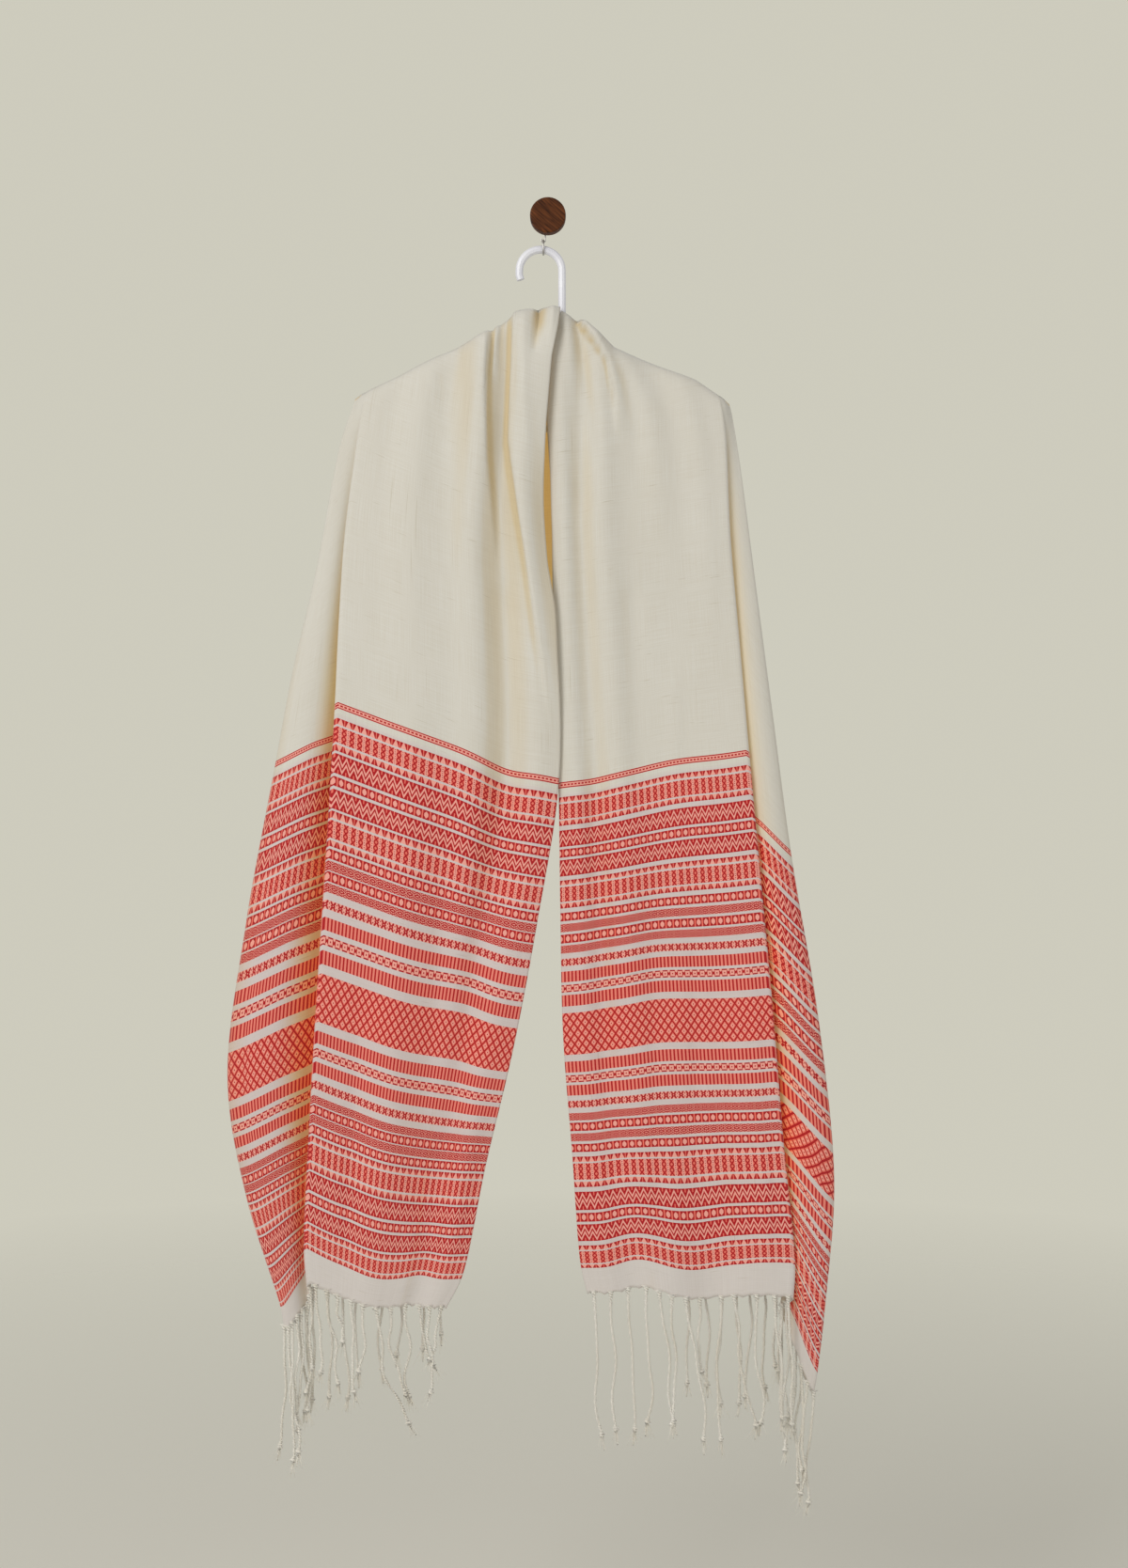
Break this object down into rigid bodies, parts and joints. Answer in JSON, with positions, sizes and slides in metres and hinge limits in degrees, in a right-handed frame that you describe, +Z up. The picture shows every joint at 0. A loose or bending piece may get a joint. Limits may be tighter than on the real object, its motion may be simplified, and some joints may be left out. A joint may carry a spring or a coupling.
{
  "type": "rebozo shawl on a coat hanger and wall knob",
  "caption": "Long woven shawl with patterned ends and knotted fringe, draped over a tubular coat hanger that hangs from a wooden wall knob.",
  "frame": {"origin": "middle of the knob's flat back, where it is fastened to the wall", "axes": "+Z up, +Y into the wall, +X to the right for someone facing the shawl"},
  "size_m": [0.6744, 0.0739, 1.4865],
  "materials": {
    "shawl_cotton": "plain woven ivory cotton, with crimson pattern weave at the ends",
    "fringe_cotton": "twisted and knotted ivory cotton cords",
    "hanger_plastic": "smooth white plastic tube",
    "knob_wood": "dark oiled walnut, diagonal grain",
    "ring_steel": "plain steel wire"
  },
  "bodies": {
    "root": {"left_front_panel": "shawl_cotton", "left_side_panel": "shawl_cotton", "left_back_panel": "shawl_cotton", "right_front_panel": "shawl_cotton", "right_side_panel": "shawl_cotton", "right_back_panel": "shawl_cotton", "back_swag": "shawl_cotton", "left_front_fringe": "fringe_cotton", "left_side_fringe": "fringe_cotton", "left_back_fringe": "fringe_cotton", "right_front_fringe": "fringe_cotton", "right_side_fringe": "fringe_cotton", "right_back_fringe": "fringe_cotton", "hanger_arms": "hanger_plastic", "hanger_hook": "hanger_plastic", "wall_knob": "knob_wood", "cup_hook": "ring_steel", "hanging_ring": "ring_steel"}
  },
  "joints": []
}
